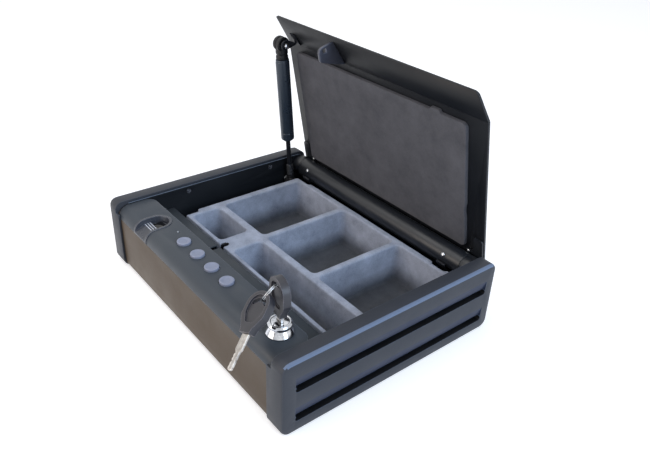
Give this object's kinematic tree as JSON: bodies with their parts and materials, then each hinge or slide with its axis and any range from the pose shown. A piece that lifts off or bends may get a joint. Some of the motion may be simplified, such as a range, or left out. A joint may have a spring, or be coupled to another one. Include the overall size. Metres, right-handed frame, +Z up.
{
  "type": "portable car safe",
  "caption": "Low rectangular car safe with moulded side caps, a lid held open by a gas strut, a console with buttons, a fingerprint scoop and a key lock, and a divider tray.",
  "frame": {"origin": "centre of the footprint on the underside of the base mat", "axes": "+X from the left cap to the right cap, +Y from the console to the hinge, +Z up"},
  "size_m": [0.314, 0.2798, 0.241],
  "materials": {
    "cap": "moulded grey plastic with a soft sheen",
    "steel": "dark powder coat",
    "deck": "smooth dark grey",
    "lid": "dark satin powder coat",
    "dark_metal": "black paint",
    "chrome": "polished",
    "nickel": "nickel plated",
    "zinc": "zinc plated",
    "black_plastic": "black, fine grain",
    "gloss": "black gloss window",
    "button": "pale grey, soft sheen",
    "flock": "grey flocking on foam",
    "foam": "dark grey foam",
    "rubber": "black",
    "board": "green solder mask",
    "cell": "plain wrapped cell",
    "light": "clear lens"
  },
  "bodies": {
    "case": {"base_shell": "steel", "base_mat": "rubber", "right_end_cap": "cap", "left_end_cap": "cap", "console_cover": "deck", "ledge_plate": "deck", "button_board": "board", "status_light": "light", "fingerprint_bezel": "black_plastic", "fingerprint_sensor": "gloss", "lock_bezel": "chrome", "lock_nut": "zinc", "latch_keeper": "zinc", "bar_guide": "zinc", "release_solenoid": "dark_metal", "battery_holder": "black_plastic", "battery_1": "cell", "battery_2": "cell", "battery_3": "cell", "battery_4": "cell", "hinge_rod": "zinc", "hinge_barrel": "lid", "barrel_rivet_left": "nickel", "barrel_rivet_right": "nickel", "hinge_bracket_left": "dark_metal", "hinge_bracket_right": "dark_metal", "strut_lower_ball": "chrome", "wall_screw_left_front": "zinc", "wall_screw_right_front": "zinc", "wall_screw_left_rear": "zinc", "wall_screw_right_rear": "zinc"},
    "lid": {"lid_panel": "lid", "lid_pad": "foam", "lid_catch": "dark_metal", "strut_plate": "dark_metal", "strut_stud": "chrome", "hinge_knuckle_left": "lid", "hinge_knuckle_right": "lid", "lid_rivet_left": "nickel", "lid_rivet_right": "nickel"},
    "strut_foot": {"strut_rod": "dark_metal", "strut_boot": "rubber", "strut_lower_socket": "black_plastic"},
    "strut_head": {"strut_cylinder": "dark_metal", "strut_upper_socket": "black_plastic", "strut_upper_ball": "chrome"},
    "lock": {"lock_core": "chrome", "lock_cam": "zinc", "key_blade": "nickel", "key_bow": "black_plastic", "key_ring": "nickel", "spare_key_blade": "nickel", "spare_key_bow": "black_plastic"},
    "latch": {"latch_bar": "zinc", "solenoid_plunger": "zinc"},
    "press_1": {"button_1": "button"},
    "press_2": {"button_2": "button"},
    "press_3": {"button_3": "button"},
    "press_4": {"button_4": "button"},
    "tray": {"tray": "flock"}
  },
  "joints": [
    {"name": "lid_hinge", "type": "hinge", "parent": "case", "child": "lid", "pos_m": [0, 0.113, 0.0575], "axis": [1, 0, 0], "range_deg": [0, 78.8]},
    {"name": "strut_swing", "type": "hinge", "parent": "case", "child": "strut_foot", "pos_m": [-0.1316, 0.0936, 0.043], "axis": [1, 0, 0], "range_deg": [0, 80.61]},
    {"name": "strut_slide", "type": "slide", "parent": "strut_foot", "child": "strut_head", "axis": [0, -0.089, 0.996], "range_m": [-0.03051, 0]},
    {"name": "lock_turn", "type": "hinge", "parent": "case", "child": "lock", "pos_m": [0.1173, -0.0955, 0.0799], "axis": [0, 0, 1], "range_deg": [0, 90]},
    {"name": "latch_slide", "type": "slide", "parent": "case", "child": "latch", "axis": [-1, 0, 0], "range_m": [0, 0.01275]},
    {"name": "button_1_press", "type": "slide", "parent": "case", "child": "press_1", "axis": [0, 0, -1], "range_m": [0, 0.0012], "stiffness_N_per_m": 500, "springref_m": -0.0005},
    {"name": "button_2_press", "type": "slide", "parent": "case", "child": "press_2", "axis": [0, 0, -1], "range_m": [0, 0.0012], "stiffness_N_per_m": 500, "springref_m": -0.0005},
    {"name": "button_3_press", "type": "slide", "parent": "case", "child": "press_3", "axis": [0, 0, -1], "range_m": [0, 0.0012], "stiffness_N_per_m": 500, "springref_m": -0.0005},
    {"name": "button_4_press", "type": "slide", "parent": "case", "child": "press_4", "axis": [0, 0, -1], "range_m": [0, 0.0012], "stiffness_N_per_m": 500, "springref_m": -0.0005},
    {"name": "tray_lift", "type": "slide", "parent": "case", "child": "tray", "axis": [0, 0, 1], "range_m": [0, 0.009]}
  ],
  "couplings": [
    {"joint": "strut_swing", "follows": "lid_hinge", "ratio": 1.0217},
    {"joint": "strut_slide", "follows": "lid_hinge", "m_per_rad": -0.022108},
    {"joint": "latch_slide", "follows": "lock_turn", "m_per_rad": 0.0081028}
  ]
}
